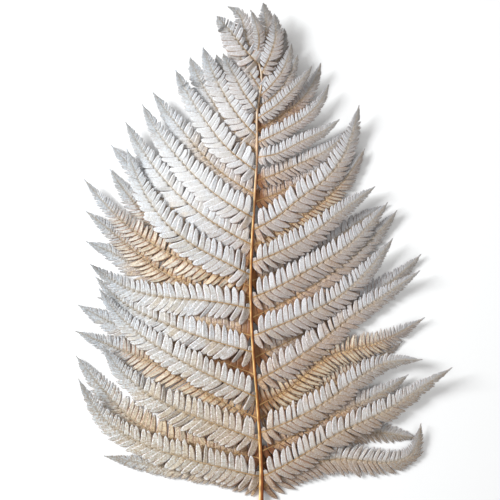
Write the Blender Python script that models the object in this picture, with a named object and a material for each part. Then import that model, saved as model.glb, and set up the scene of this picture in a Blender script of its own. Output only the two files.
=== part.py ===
"""Preserved (bleached, pressed) fern frond, lying flat on a surface.

One compound leaf: a bare stalk that runs on as the midrib (rachis), leaflets (pinnae) along both sides of
it, and the small undivided lobe at the tip. Each leaflet is its own solid and sits 0.35 mm off the midrib.

Frame: metres, +Z up. The frond lies on the plane z = 0, its tip towards +Y, its upper face up. The origin is
under the middle of its outline.

Plan positions are given on a drawing grid of 1 mm squares, x to the right and y down from the top edge of a
sheet, because that is how a pressed leaf is drawn. model_xy() turns them into the frame above.
"""

import math

import bmesh
import bpy
import numpy as np
from mathutils import Matrix, Vector

# ---------------------------------------------------------------- driving dimensions (mm on the drawing grid)
SCALE = 1.0  # real millimetres for each grid millimetre
SHEET_CX, SHEET_CY = 262.44, 281.53  # grid point above the origin
LEVEL_STEP = 1.9  # height between leaflets that overlap
LEVELS_MIDDLE = 2.0  # the level that leaves the midrib at its own height
OUTER_HEIGHT = 4.4  # height of the middle level away from the midrib
DRAPE_WIDTH = 120.0  # how far from the midrib the leaf comes down to that height
RAMP_FROM, RAMP_TO = 0.5, 7.0  # where along a leaflet it reaches its own level
RAMP_START = 0.38  # share of that level it already has at the midrib
FOOT_LENGTH = 15.0  # over this length a leaflet widens from its narrow foot
MIDRIB_CLEARANCE = 0.35
ROOF = 0.08  # a leaflet's two halves slope down from its own midrib
COSTA_HALF, EDGE_HALF = 0.5, 0.2  # half thickness of a leaflet at its own midrib and at its edge

# The stalk and midrib in plan, from the cut end to the start of the tip lobe, with radius and height of its axis.
MIDRIB_PLAN = [
    (258.0, 556.0), (260.4, 520.0), (261.4, 492.0), (261.4, 466.0), (260.0, 438.0), (257.3, 400.0), (253.4, 352.0),
    (251.2, 310.0), (250.9, 275.0), (252.4, 238.0), (254.8, 197.0), (256.8, 160.0), (257.0, 132.0), (257.6, 109.0),
    (260.9, 88.0), (260.8, 71.0), (255.0, 56.5), (247.6, 43.0), (243.6, 28.0), (239.0, 17.0), (229.0, 10.5),
]
MIDRIB_HEIGHT = [(560, 2.9), (540, 2.95), (500, 3.9), (450, 6.2), (380, 8.4), (300, 9.0), (200, 9.0), (130, 9.4), (90, 11.0), (60, 14.5), (35, 19.5), (10, 25.5)]
MIDRIB_RADIUS = [(560, 2.9), (500, 2.7), (440, 2.2), (360, 1.85), (260, 1.6), (180, 1.4), (120, 1.15), (80, 0.95), (55, 0.75), (30, 0.5), (10, 0.3)]
MIDRIB_END_Y = 55.0  # the tip lobe starts here

# Leaflets: height of the node on the midrib, plan points on the way out, level (0 lies lowest), tip lift, and for a
# narrow one its share of the usual breadth.
LEFT = [
    (488.0, [(232, 478.5), (190, 470.5), (145, 465), (105, 457)], 1, 1.0, 0.72),
    (477.0, [(214, 465.5), (150, 446.5), (104, 418.5), (81, 380)], 4, 9.0),
    (459.0, [(205, 449), (148, 432), (112, 402), (77, 358)], 0, 3.0),
    (441.0, [(214, 423.5), (160, 401), (121, 371), (104, 347)], 3, 5.0),
    (419.0, [(215, 398), (168, 370), (125, 352), (77, 332)], 1, 2.0),
    (397.0, [(214, 377), (157, 346), (118, 314), (101, 290)], 4, 6.0),
    (375.0, [(214, 359), (160, 340), (118, 326), (79, 306)], 0, 1.5),
    (352.0, [(214, 341), (158, 320.5), (121, 301), (97, 278)], 3, 3.0),
    (336.0, [(214, 325), (160, 311), (126, 303), (99, 298)], 1.7, 0.5),
    (320.0, [(215, 308), (163, 285), (125, 260), (87, 242)], 0, 1.5),
    (308.5, [(215, 301.5), (160, 296.5), (123, 286), (93, 265)], 4, 10.0),
    (297.0, [(215, 290), (168, 275), (125, 243), (87, 212)], 1.4, 2.5),
    (286.0, [(215, 273), (170, 253.5), (120, 219), (86, 181)], 2.7, 5.0),
    (280.5, [(214, 262), (174, 238), (136, 205), (110, 170)], 0, 1.0),
    (275.0, [(220, 259.5), (178, 234), (143, 190), (128, 151)], 4, 5.0),
    (260.0, [(220, 245), (180, 217), (143, 180), (112, 146)], 1.3, 1.0),
    (245.0, [(214, 223), (172, 188), (143, 151), (127, 124)], 2.7, 7.0),
    (218.0, [(213, 192.5), (180, 160), (158, 132), (144, 107)], 4, 8.0),
    (194.5, [(216, 168), (187, 136), (168, 113), (154, 94)], 2, 6.0),
    (171.5, [(228, 149), (204, 119), (188, 94), (177, 73)], 4, 7.0),
    (152.0, [(234, 131), (213, 102), (200, 80), (191, 60)], 1.7, 5.0),
    (137.0, [(238, 116), (221, 89), (211, 69), (204, 51)], 3, 6.0),
    (124.0, [(241, 104), (228, 80), (221, 66), (217, 57)], 1, 2.0),
    (112.0, [(244, 94), (234, 76), (228, 65), (224, 57)], 4, 3.0),
    (101.0, [(248, 84), (240, 70), (234, 58), (230, 50)], 2, 0.5),
    (90.0, [(250, 74), (241, 60), (234, 48), (228, 39)], 3, 0.5),
    (79.0, [(249, 65), (240, 51), (232, 40), (224, 30)], 1, 0.0),
    (67.0, [(247, 54), (237, 42), (228, 31), (218, 21)], 4, 2.0),
]
RIGHT = [
    (489.0, [(303, 467), (345, 459.5), (384, 463), (410, 456), (421, 426)], 1.4, 3.0),
    (477.0, [(296, 458.5), (340, 432), (384, 411.5), (419, 388.5), (448, 368)], 4, 12.0),
    (465.0, [(308, 445), (352, 433), (388, 434), (418, 439)], 0, 1.0),
    (452.0, [(308, 429), (348, 409), (384, 391.5), (407, 376)], 2, 2.0),
    (433.0, [(282, 424), (325, 401.5), (357, 378.5), (388, 362), (419, 359)], 4, 8.0),
    (419.0, [(296, 402), (345, 376), (385, 354), (402, 343)], 0, 1.0),
    (406.0, [(293, 385.5), (326, 358.5), (376, 343), (423, 319)], 1.4, 3.0),
    (381.0, [(313, 347), (347, 320), (377, 300), (417, 272)], 3, 9.0),
    (358.0, [(305, 333), (345, 309), (386, 286), (420, 256)], 0, 4.0),
    (336.0, [(303, 315), (334, 299.5), (367.5, 270.5), (391, 240)], 4, 6.0),
    (318.0, [(303, 292), (340, 267), (371, 240), (396, 212)], 1.4, 4.0),
    (298.0, [(272, 289.5), (310, 269), (343, 249), (372, 221), (386, 204)], 3, 7.0),
    (281.0, [(286, 268), (325, 247), (355, 225), (386, 205)], 0, 2.0),
    (263.0, [(291, 246), (320, 227.5), (346, 207), (373, 188)], 4, 6.0),
    (246.0, [(288, 226), (320, 204), (346, 178), (364, 150)], 1.4, 2.0),
    (230.0, [(275.5, 217.8), (301, 197.5), (326, 178.5), (345, 152), (358, 108)], 3, 9.0),
    (202.0, [(278, 193), (306, 178), (330, 159), (349, 135)], 1, 1.0),
    (181.0, [(272, 175.5), (298, 164.3), (322, 153), (353, 127)], 2, 0.5),
    (157.5, [(277, 154), (298, 143.5), (320, 133), (338, 121)], 4, 6.0),
    (143.0, [(282, 131), (305, 117), (319, 103), (328, 86)], 3, 5.0),
    (131.0, [(277, 118), (298, 103), (312, 85), (320, 65)], 1, 7.0),
    (119.0, [(275, 107), (292, 91), (302, 80), (311, 68)], 4, 3.0),
    (108.0, [(274, 96), (287, 80), (297, 57)], 2, 5.0),
    (97.0, [(273, 84), (284, 68), (291, 46)], 3, 3.0),
    (86.0, [(272, 71), (280, 53), (284, 31)], 1, 4.0),
    (75.0, [(269, 59), (275, 40), (274, 18)], 4, 2.0),
    (65.0, [(264, 46), (266, 27), (263, 7)], 2, 3.0),
    (58.0, [(259, 45), (257, 30), (251, 15)], 4, 1.0, 0.65),
]


# ---------------------------------------------------------------- curves in plan
class PlanCurve:
    """A natural cubic spline through points of the drawing grid, read by its arc length."""

    def __init__(self, points):
        p = np.array(points, float)
        t = np.concatenate([[0.0], np.cumsum(np.hypot(*np.diff(p, axis=0).T))])
        n = len(t)
        h = np.diff(t)
        a, b = np.eye(n), np.zeros((n, 2))
        for i in range(1, n - 1):
            a[i, i - 1], a[i, i], a[i, i + 1] = h[i - 1], 2 * (h[i - 1] + h[i]), h[i]
            b[i] = 6 * ((p[i + 1] - p[i]) / h[i] - (p[i] - p[i - 1]) / h[i - 1])
        m = np.linalg.solve(a, b)
        u = np.linspace(0, t[-1], 900)
        i = np.clip(np.searchsorted(t, u, side="right") - 1, 0, n - 2)
        hi, l, r = h[i][:, None], (t[i + 1] - u)[:, None], (u - t[i])[:, None]
        self.xy = m[i] * l**3 / (6 * hi) + m[i + 1] * r**3 / (6 * hi) + (p[i] / hi - m[i] * hi / 6) * l + (p[i + 1] / hi - m[i + 1] * hi / 6) * r
        self.s = np.concatenate([[0.0], np.cumsum(np.hypot(*np.diff(self.xy, axis=0).T))])
        self.length = float(self.s[-1])

    def at(self, s):
        s = np.asarray(s, float)
        return np.stack([np.interp(s, self.s, self.xy[:, k]) for k in (0, 1)], -1)

    def heading(self, s, d=1.5):
        v = self.at(np.clip(np.asarray(s) + d, 0, self.length)) - self.at(np.clip(np.asarray(s) - d, 0, self.length))
        return v / np.linalg.norm(v, axis=-1, keepdims=True)


def along(table, y):
    """A value that changes smoothly with the grid height y."""
    t = np.array(sorted(table), float)
    return np.interp(y, t[:, 0], t[:, 1])


def smooth(a, b, x):
    u = np.clip((np.asarray(x, float) - a) / (b - a), 0, 1)
    return u * u * (3 - 2 * u)


MIDRIB = PlanCurve(MIDRIB_PLAN)
_u = np.linspace(0, MIDRIB.length, 700)
_line = MIDRIB.at(_u)
_kernel = np.hanning(61) / np.hanning(61).sum()
_pad = np.pad(along(MIDRIB_HEIGHT, _line[:, 1]), 30, mode="edge")
_height = np.convolve(_pad, _kernel, "valid")


def midrib_x(y):
    order = np.argsort(_line[:, 1])
    return float(np.interp(y, _line[order, 1], _line[order, 0]))


def leaf_height(xy):
    """Height of the leaf's middle level over the surface, at points of the grid: it comes down from the midrib
    to both sides, with a slight swell where a pressed leaf never lies quite flat."""
    xy = np.atleast_2d(xy)
    d2 = ((xy[:, None, :] - _line[None, :, :]) ** 2).sum(-1)
    i = d2.argmin(1)
    d = np.sqrt(d2[np.arange(len(xy)), i])
    fall = smooth(0, DRAPE_WIDTH, d)
    swell = 0.9 * (1 + np.sin(xy[:, 0] / 31.0 + 0.6) * np.sin(xy[:, 1] / 43.0 + 1.1)) * smooth(8, 60, d)
    swell *= 1 - smooth(95, 135, d)
    return OUTER_HEIGHT + (_height[i] - OUTER_HEIGHT) * (1 - fall) + swell


# ---------------------------------------------------------------- one leaflet
def widest(length):
    return min(2.2 + 0.092 * length, 17.4)


def half_width(s, length, start, breadth):
    t = s / length
    opening = min(FOOT_LENGTH, 0.3 * length)
    b = 0.12 + 0.88 * smooth(start - 1.0, start + opening, s)
    return np.maximum(widest(length) * breadth * np.clip(1 - t**2.6, 0, 1) ** 0.85 * b, 0.55)


def model_xy(p):
    return (p[0] - SHEET_CX) * SCALE * 1e-3, (SHEET_CY - p[1]) * SCALE * 1e-3


def leaflet_path(node_y, points):
    curve = PlanCurve([(midrib_x(node_y), node_y)] + [tuple(map(float, p)) for p in points])
    samples = np.linspace(0, min(12.0, curve.length / 2), 241)
    p = curve.at(samples)
    clear = np.sqrt(((p[:, None, :] - _line[None, :, :]) ** 2).sum(-1).min(1))
    need = float(along(MIDRIB_RADIUS, node_y)) + MIDRIB_CLEARANCE + 0.15
    return curve, float(samples[int(np.argmax(clear > need))])


def leaflet_height(xy, s, curve, level, lift):
    own = (level - LEVELS_MIDDLE) * LEVEL_STEP * (RAMP_START + (1 - RAMP_START) * smooth(RAMP_FROM, RAMP_TO, s))
    t = s / curve.length
    return leaf_height(xy) + own + lift * np.clip((t - 0.76) / 0.24, 0, 1) ** 2


def off_midrib(plan):
    """Points of the grid, moved straight out where they would come closer to the midrib than its clearance."""
    gap = plan[:, None, :] - _line[None, :, :]
    d2 = (gap**2).sum(-1)
    i = d2.argmin(1)
    d = np.sqrt(d2[np.arange(len(plan)), i])
    need = along(MIDRIB_RADIUS, _line[i, 1]) + MIDRIB_CLEARANCE + 0.1
    out = gap[np.arange(len(plan)), i] / np.maximum(d, 1e-6)[:, None]
    return plan + out * np.maximum(need - d, 0)[:, None]


def leaflet_rows(curve, start, level, lift, breadth, stations):
    """Six points round the leaflet at each station: left edge, midrib and right edge, on top and underneath."""
    share = np.linspace(0, 1, stations)
    s = start + (curve.length - start) * (share + 0.10 * np.sin(2 * math.pi * share) / math.pi)
    mid, ahead = curve.at(s), curve.heading(s)
    side = np.stack([ahead[:, 1], -ahead[:, 0]], -1)
    w = half_width(s, curve.length, start, breadth)
    rows = []
    for k in range(stations):
        plan = off_midrib(np.array([mid[k] - side[k] * w[k], mid[k], mid[k] + side[k] * w[k]]))
        z = leaflet_height(plan, np.full(3, s[k]), curve, level, lift) - ROOF * w[k] * np.array([1, 0, 1])
        thin = 1 - 0.45 * s[k] / curve.length
        half = np.array([EDGE_HALF, COSTA_HALF * thin, EDGE_HALF])
        low = np.maximum(z - half, 0.0)
        high = np.maximum(z + half, low + 2 * half)
        ring = [(*model_xy(plan[j]), high[j] * SCALE * 1e-3) for j in (0, 1, 2)]
        ring += [(*model_xy(plan[j]), low[j] * SCALE * 1e-3) for j in (2, 1, 0)]
        rows.append([Vector(v) for v in ring])
    return rows


def skin(rows, placed):
    """A closed body: the rings of points bridged one to the next, and both ends filled."""
    back = placed.inverted()
    bm = bmesh.new()
    rings = [[bm.verts.new(back @ v) for v in row] for row in rows]
    for a, b in zip(rings, rings[1:]):
        n = len(a)
        for k in range(n):
            bm.faces.new((a[k], a[(k + 1) % n], b[(k + 1) % n], b[k]))
    bm.faces.new(rings[0][::-1])
    bm.faces.new(rings[-1])
    bmesh.ops.triangulate(bm, faces=bm.faces[:])
    bmesh.ops.recalc_face_normals(bm, faces=bm.faces[:])
    return bm


def material(name, colour, roughness):
    m = bpy.data.materials.new(name)
    m.use_nodes = True
    shader = m.node_tree.nodes["Principled BSDF"]
    shader.inputs["Base Color"].default_value = (*colour, 1)
    shader.inputs["Roughness"].default_value = roughness
    shader.inputs["Metallic"].default_value = 0.0
    return m


def add(name, bm, placed, look, parent):
    mesh = bpy.data.meshes.new(name)
    bm.to_mesh(mesh)
    bm.free()
    mesh.materials.append(look)
    ob = bpy.data.objects.new(name, mesh)
    bpy.context.scene.collection.objects.link(ob)
    ob.parent = parent
    ob.matrix_world = placed
    return ob


# ---------------------------------------------------------------- build
def main():
    for ob in list(bpy.data.objects):
        bpy.data.objects.remove(ob)

    stem_look = material("dried_stem", (0.46, 0.23, 0.07), 0.5)
    pale = material("bleached_blade", (0.76, 0.70, 0.63), 0.7)
    tan = material("tan_blade", (0.62, 0.42, 0.24), 0.7)

    frond = bpy.data.objects.new("frond", None)
    bpy.context.scene.collection.objects.link(frond)

    # Stalk and midrib: a curve with a round bevel that thins towards the tip, both ends closed.
    data = bpy.data.curves.new("stalk_and_midrib", "CURVE")
    data.dimensions = "3D"
    data.bevel_depth = 0.001
    data.bevel_resolution = 3
    data.use_fill_caps = True
    end = float(np.interp(-MIDRIB_END_Y, -_line[:, 1], _u))
    stations = np.concatenate([np.linspace(0, end * 0.82, 26), np.linspace(end * 0.82, end, 12)[1:]])
    points = MIDRIB.at(stations)
    spline = data.splines.new("POLY")
    spline.points.add(len(points) - 1)
    base_xy = model_xy(points[0])
    for point, p, s in zip(spline.points, points, stations):
        x, y = model_xy(p)
        r = float(along(MIDRIB_RADIUS, p[1]))
        z = max(float(np.interp(s, _u, _height)), r)
        point.co = (x - base_xy[0], y - base_xy[1], z * SCALE * 1e-3, 1)
        point.radius = r * SCALE
    stem = bpy.data.objects.new("stalk_and_midrib", data)
    bpy.context.scene.collection.objects.link(stem)
    stem.parent = frond
    stem.location = (*base_xy, 0)
    data.materials.append(stem_look)

    for side, rows in (("left", LEFT), ("right", RIGHT)):
        for number, (node_y, plan, level, lift, *narrow) in enumerate(rows, 1):
            curve, start = leaflet_path(node_y, plan)
            stations = 15 if curve.length > 120 else 12 if curve.length > 60 else 9
            rings = leaflet_rows(curve, start, level, lift, narrow[0] if narrow else 1.0, stations)
            way = curve.heading(start)
            turn = math.atan2(-way[1], way[0])
            foot = (rings[0][1] + rings[0][4]) / 2
            placed = Matrix.Translation(foot) @ Matrix.Rotation(turn, 4, "Z")
            add(f"pinna_{side}_{number:02d}", skin(rings, placed), placed, pale if level > 2 else tan, frond)

    # The tip: the midrib's last stretch with its lobes still joined in one blade.
    start = end + 0.6
    s = start + (MIDRIB.length - start) * np.linspace(0, 1, 10)
    mid, ahead = MIDRIB.at(s), MIDRIB.heading(s)
    across = np.stack([ahead[:, 1], -ahead[:, 0]], -1)
    rings = []
    for k in range(len(s)):
        t = (s[k] - start) / (MIDRIB.length - start)
        w = max(6.6 * (1 - t**1.7) * (0.35 + 0.65 * float(smooth(0, 0.25, t))), 0.5)
        plan = [mid[k] - across[k] * w, mid[k], mid[k] + across[k] * w]
        z = np.interp(s[k], _u, _height) + np.array([0.9, 0, 0.9]) * w / 7
        half = [EDGE_HALF, COSTA_HALF * (1 - 0.4 * t), EDGE_HALF]
        ring = [(*model_xy(plan[j]), (z[j] + half[j]) * SCALE * 1e-3) for j in (0, 1, 2)]
        ring += [(*model_xy(plan[j]), (z[j] - half[j]) * SCALE * 1e-3) for j in (2, 1, 0)]
        rings.append([Vector(v) for v in ring])
    placed = Matrix.Translation((rings[0][1] + rings[0][4]) / 2)
    add("tip_lobe", skin(rings, placed), placed, pale, frond)


main()
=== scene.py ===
"""Looks of the bleached fern frond: every leaflet is built again as a midvein with two rows of papery segments,
the stalk and midrib as a grooved stem, each with its own procedural material."""

import math

import bpy
import numpy as np
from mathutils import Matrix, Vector


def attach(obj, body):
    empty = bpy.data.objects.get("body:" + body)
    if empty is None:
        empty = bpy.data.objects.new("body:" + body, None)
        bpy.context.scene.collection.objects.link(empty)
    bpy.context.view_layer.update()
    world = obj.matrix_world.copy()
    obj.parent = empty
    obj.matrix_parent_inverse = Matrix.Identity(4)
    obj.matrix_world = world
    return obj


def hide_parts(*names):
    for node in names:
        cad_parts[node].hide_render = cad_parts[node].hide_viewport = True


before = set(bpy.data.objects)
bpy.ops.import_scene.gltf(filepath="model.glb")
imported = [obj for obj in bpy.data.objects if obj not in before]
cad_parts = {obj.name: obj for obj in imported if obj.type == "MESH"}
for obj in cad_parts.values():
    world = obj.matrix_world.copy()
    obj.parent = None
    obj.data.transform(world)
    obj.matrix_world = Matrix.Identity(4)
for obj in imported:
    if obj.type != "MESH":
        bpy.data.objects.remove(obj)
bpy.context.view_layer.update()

# ================================================================ the frond's plan, the same as the solids'
SCALE = 1.0  # real millimetres for each grid millimetre
SHEET_CX, SHEET_CY = 262.44, 281.53  # grid point above the origin
LEVEL_STEP = 1.9  # height between leaflets that overlap
LEVELS_MIDDLE = 2.0  # the level that leaves the midrib at its own height
OUTER_HEIGHT = 4.4  # height of the middle level away from the midrib
DRAPE_WIDTH = 120.0  # how far from the midrib the leaf comes down to that height
RAMP_FROM, RAMP_TO = 0.5, 7.0  # where along a leaflet it reaches its own level
RAMP_START = 0.38  # share of that level it already has at the midrib
FOOT_LENGTH = 15.0  # over this length a leaflet widens from its narrow foot
MIDRIB_CLEARANCE = 0.35
ROOF = 0.08  # a leaflet's two halves slope down from its own midrib
COSTA_HALF, EDGE_HALF = 0.5, 0.2  # half thickness of a leaflet at its own midrib and at its edge

# The stalk and midrib in plan, from the cut end to the start of the tip lobe, with radius and height of its axis.
MIDRIB_PLAN = [
    (258.0, 556.0), (260.4, 520.0), (261.4, 492.0), (261.4, 466.0), (260.0, 438.0), (257.3, 400.0), (253.4, 352.0),
    (251.2, 310.0), (250.9, 275.0), (252.4, 238.0), (254.8, 197.0), (256.8, 160.0), (257.0, 132.0), (257.6, 109.0),
    (260.9, 88.0), (260.8, 71.0), (255.0, 56.5), (247.6, 43.0), (243.6, 28.0), (239.0, 17.0), (229.0, 10.5),
]
MIDRIB_HEIGHT = [(560, 2.9), (540, 2.95), (500, 3.9), (450, 6.2), (380, 8.4), (300, 9.0), (200, 9.0), (130, 9.4), (90, 11.0), (60, 14.5), (35, 19.5), (10, 25.5)]
MIDRIB_RADIUS = [(560, 2.9), (500, 2.7), (440, 2.2), (360, 1.85), (260, 1.6), (180, 1.4), (120, 1.15), (80, 0.95), (55, 0.75), (30, 0.5), (10, 0.3)]
MIDRIB_END_Y = 55.0  # the tip lobe starts here

# Leaflets: height of the node on the midrib, plan points on the way out, level (0 lies lowest), tip lift, and for a
# narrow one its share of the usual breadth.
LEFT = [
    (488.0, [(232, 478.5), (190, 470.5), (145, 465), (105, 457)], 1, 1.0, 0.72),
    (477.0, [(214, 465.5), (150, 446.5), (104, 418.5), (81, 380)], 4, 9.0),
    (459.0, [(205, 449), (148, 432), (112, 402), (77, 358)], 0, 3.0),
    (441.0, [(214, 423.5), (160, 401), (121, 371), (104, 347)], 3, 5.0),
    (419.0, [(215, 398), (168, 370), (125, 352), (77, 332)], 1, 2.0),
    (397.0, [(214, 377), (157, 346), (118, 314), (101, 290)], 4, 6.0),
    (375.0, [(214, 359), (160, 340), (118, 326), (79, 306)], 0, 1.5),
    (352.0, [(214, 341), (158, 320.5), (121, 301), (97, 278)], 3, 3.0),
    (336.0, [(214, 325), (160, 311), (126, 303), (99, 298)], 1.7, 0.5),
    (320.0, [(215, 308), (163, 285), (125, 260), (87, 242)], 0, 1.5),
    (308.5, [(215, 301.5), (160, 296.5), (123, 286), (93, 265)], 4, 10.0),
    (297.0, [(215, 290), (168, 275), (125, 243), (87, 212)], 1.4, 2.5),
    (286.0, [(215, 273), (170, 253.5), (120, 219), (86, 181)], 2.7, 5.0),
    (280.5, [(214, 262), (174, 238), (136, 205), (110, 170)], 0, 1.0),
    (275.0, [(220, 259.5), (178, 234), (143, 190), (128, 151)], 4, 5.0),
    (260.0, [(220, 245), (180, 217), (143, 180), (112, 146)], 1.3, 1.0),
    (245.0, [(214, 223), (172, 188), (143, 151), (127, 124)], 2.7, 7.0),
    (218.0, [(213, 192.5), (180, 160), (158, 132), (144, 107)], 4, 8.0),
    (194.5, [(216, 168), (187, 136), (168, 113), (154, 94)], 2, 6.0),
    (171.5, [(228, 149), (204, 119), (188, 94), (177, 73)], 4, 7.0),
    (152.0, [(234, 131), (213, 102), (200, 80), (191, 60)], 1.7, 5.0),
    (137.0, [(238, 116), (221, 89), (211, 69), (204, 51)], 3, 6.0),
    (124.0, [(241, 104), (228, 80), (221, 66), (217, 57)], 1, 2.0),
    (112.0, [(244, 94), (234, 76), (228, 65), (224, 57)], 4, 3.0),
    (101.0, [(248, 84), (240, 70), (234, 58), (230, 50)], 2, 0.5),
    (90.0, [(250, 74), (241, 60), (234, 48), (228, 39)], 3, 0.5),
    (79.0, [(249, 65), (240, 51), (232, 40), (224, 30)], 1, 0.0),
    (67.0, [(247, 54), (237, 42), (228, 31), (218, 21)], 4, 2.0),
]
RIGHT = [
    (489.0, [(303, 467), (345, 459.5), (384, 463), (410, 456), (421, 426)], 1.4, 3.0),
    (477.0, [(296, 458.5), (340, 432), (384, 411.5), (419, 388.5), (448, 368)], 4, 12.0),
    (465.0, [(308, 445), (352, 433), (388, 434), (418, 439)], 0, 1.0),
    (452.0, [(308, 429), (348, 409), (384, 391.5), (407, 376)], 2, 2.0),
    (433.0, [(282, 424), (325, 401.5), (357, 378.5), (388, 362), (419, 359)], 4, 8.0),
    (419.0, [(296, 402), (345, 376), (385, 354), (402, 343)], 0, 1.0),
    (406.0, [(293, 385.5), (326, 358.5), (376, 343), (423, 319)], 1.4, 3.0),
    (381.0, [(313, 347), (347, 320), (377, 300), (417, 272)], 3, 9.0),
    (358.0, [(305, 333), (345, 309), (386, 286), (420, 256)], 0, 4.0),
    (336.0, [(303, 315), (334, 299.5), (367.5, 270.5), (391, 240)], 4, 6.0),
    (318.0, [(303, 292), (340, 267), (371, 240), (396, 212)], 1.4, 4.0),
    (298.0, [(272, 289.5), (310, 269), (343, 249), (372, 221), (386, 204)], 3, 7.0),
    (281.0, [(286, 268), (325, 247), (355, 225), (386, 205)], 0, 2.0),
    (263.0, [(291, 246), (320, 227.5), (346, 207), (373, 188)], 4, 6.0),
    (246.0, [(288, 226), (320, 204), (346, 178), (364, 150)], 1.4, 2.0),
    (230.0, [(275.5, 217.8), (301, 197.5), (326, 178.5), (345, 152), (358, 108)], 3, 9.0),
    (202.0, [(278, 193), (306, 178), (330, 159), (349, 135)], 1, 1.0),
    (181.0, [(272, 175.5), (298, 164.3), (322, 153), (353, 127)], 2, 0.5),
    (157.5, [(277, 154), (298, 143.5), (320, 133), (338, 121)], 4, 6.0),
    (143.0, [(282, 131), (305, 117), (319, 103), (328, 86)], 3, 5.0),
    (131.0, [(277, 118), (298, 103), (312, 85), (320, 65)], 1, 7.0),
    (119.0, [(275, 107), (292, 91), (302, 80), (311, 68)], 4, 3.0),
    (108.0, [(274, 96), (287, 80), (297, 57)], 2, 5.0),
    (97.0, [(273, 84), (284, 68), (291, 46)], 3, 3.0),
    (86.0, [(272, 71), (280, 53), (284, 31)], 1, 4.0),
    (75.0, [(269, 59), (275, 40), (274, 18)], 4, 2.0),
    (65.0, [(264, 46), (266, 27), (263, 7)], 2, 3.0),
    (58.0, [(259, 45), (257, 30), (251, 15)], 4, 1.0, 0.65),
]


# ---------------------------------------------------------------- curves in plan
class PlanCurve:
    """A natural cubic spline through points of the drawing grid, read by its arc length."""

    def __init__(self, points):
        p = np.array(points, float)
        t = np.concatenate([[0.0], np.cumsum(np.hypot(*np.diff(p, axis=0).T))])
        n = len(t)
        h = np.diff(t)
        a, b = np.eye(n), np.zeros((n, 2))
        for i in range(1, n - 1):
            a[i, i - 1], a[i, i], a[i, i + 1] = h[i - 1], 2 * (h[i - 1] + h[i]), h[i]
            b[i] = 6 * ((p[i + 1] - p[i]) / h[i] - (p[i] - p[i - 1]) / h[i - 1])
        m = np.linalg.solve(a, b)
        u = np.linspace(0, t[-1], 900)
        i = np.clip(np.searchsorted(t, u, side="right") - 1, 0, n - 2)
        hi, l, r = h[i][:, None], (t[i + 1] - u)[:, None], (u - t[i])[:, None]
        self.xy = m[i] * l**3 / (6 * hi) + m[i + 1] * r**3 / (6 * hi) + (p[i] / hi - m[i] * hi / 6) * l + (p[i + 1] / hi - m[i + 1] * hi / 6) * r
        self.s = np.concatenate([[0.0], np.cumsum(np.hypot(*np.diff(self.xy, axis=0).T))])
        self.length = float(self.s[-1])

    def at(self, s):
        s = np.asarray(s, float)
        return np.stack([np.interp(s, self.s, self.xy[:, k]) for k in (0, 1)], -1)

    def heading(self, s, d=1.5):
        v = self.at(np.clip(np.asarray(s) + d, 0, self.length)) - self.at(np.clip(np.asarray(s) - d, 0, self.length))
        return v / np.linalg.norm(v, axis=-1, keepdims=True)


def along(table, y):
    """A value that changes smoothly with the grid height y."""
    t = np.array(sorted(table), float)
    return np.interp(y, t[:, 0], t[:, 1])


def smooth(a, b, x):
    u = np.clip((np.asarray(x, float) - a) / (b - a), 0, 1)
    return u * u * (3 - 2 * u)


MIDRIB = PlanCurve(MIDRIB_PLAN)
_u = np.linspace(0, MIDRIB.length, 700)
_line = MIDRIB.at(_u)
_kernel = np.hanning(61) / np.hanning(61).sum()
_pad = np.pad(along(MIDRIB_HEIGHT, _line[:, 1]), 30, mode="edge")
_height = np.convolve(_pad, _kernel, "valid")


def midrib_x(y):
    order = np.argsort(_line[:, 1])
    return float(np.interp(y, _line[order, 1], _line[order, 0]))


def leaf_height(xy):
    """Height of the leaf's middle level over the surface, at points of the grid: it comes down from the midrib
    to both sides, with a slight swell where a pressed leaf never lies quite flat."""
    xy = np.atleast_2d(xy)
    d2 = ((xy[:, None, :] - _line[None, :, :]) ** 2).sum(-1)
    i = d2.argmin(1)
    d = np.sqrt(d2[np.arange(len(xy)), i])
    fall = smooth(0, DRAPE_WIDTH, d)
    swell = 0.9 * (1 + np.sin(xy[:, 0] / 31.0 + 0.6) * np.sin(xy[:, 1] / 43.0 + 1.1)) * smooth(8, 60, d)
    swell *= 1 - smooth(95, 135, d)
    return OUTER_HEIGHT + (_height[i] - OUTER_HEIGHT) * (1 - fall) + swell


# ---------------------------------------------------------------- one leaflet
def widest(length):
    return min(2.2 + 0.092 * length, 17.4)


def half_width(s, length, start, breadth):
    t = s / length
    opening = min(FOOT_LENGTH, 0.3 * length)
    b = 0.12 + 0.88 * smooth(start - 1.0, start + opening, s)
    return np.maximum(widest(length) * breadth * np.clip(1 - t**2.6, 0, 1) ** 0.85 * b, 0.55)


def model_xy(p):
    return (p[0] - SHEET_CX) * SCALE * 1e-3, (SHEET_CY - p[1]) * SCALE * 1e-3


def leaflet_path(node_y, points):
    curve = PlanCurve([(midrib_x(node_y), node_y)] + [tuple(map(float, p)) for p in points])
    samples = np.linspace(0, min(12.0, curve.length / 2), 241)
    p = curve.at(samples)
    clear = np.sqrt(((p[:, None, :] - _line[None, :, :]) ** 2).sum(-1).min(1))
    need = float(along(MIDRIB_RADIUS, node_y)) + MIDRIB_CLEARANCE + 0.15
    return curve, float(samples[int(np.argmax(clear > need))])


def leaflet_height(xy, s, curve, level, lift):
    own = (level - LEVELS_MIDDLE) * LEVEL_STEP * (RAMP_START + (1 - RAMP_START) * smooth(RAMP_FROM, RAMP_TO, s))
    t = s / curve.length
    return leaf_height(xy) + own + lift * np.clip((t - 0.76) / 0.24, 0, 1) ** 2


# ================================================================ helpers
MM = SCALE * 1e-3


def to_world(xy, z):
    out = np.empty((len(xy), 3))
    out[:, 0] = (xy[:, 0] - SHEET_CX) * MM
    out[:, 1] = (SHEET_CY - xy[:, 1]) * MM
    out[:, 2] = z * MM
    return out


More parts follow.
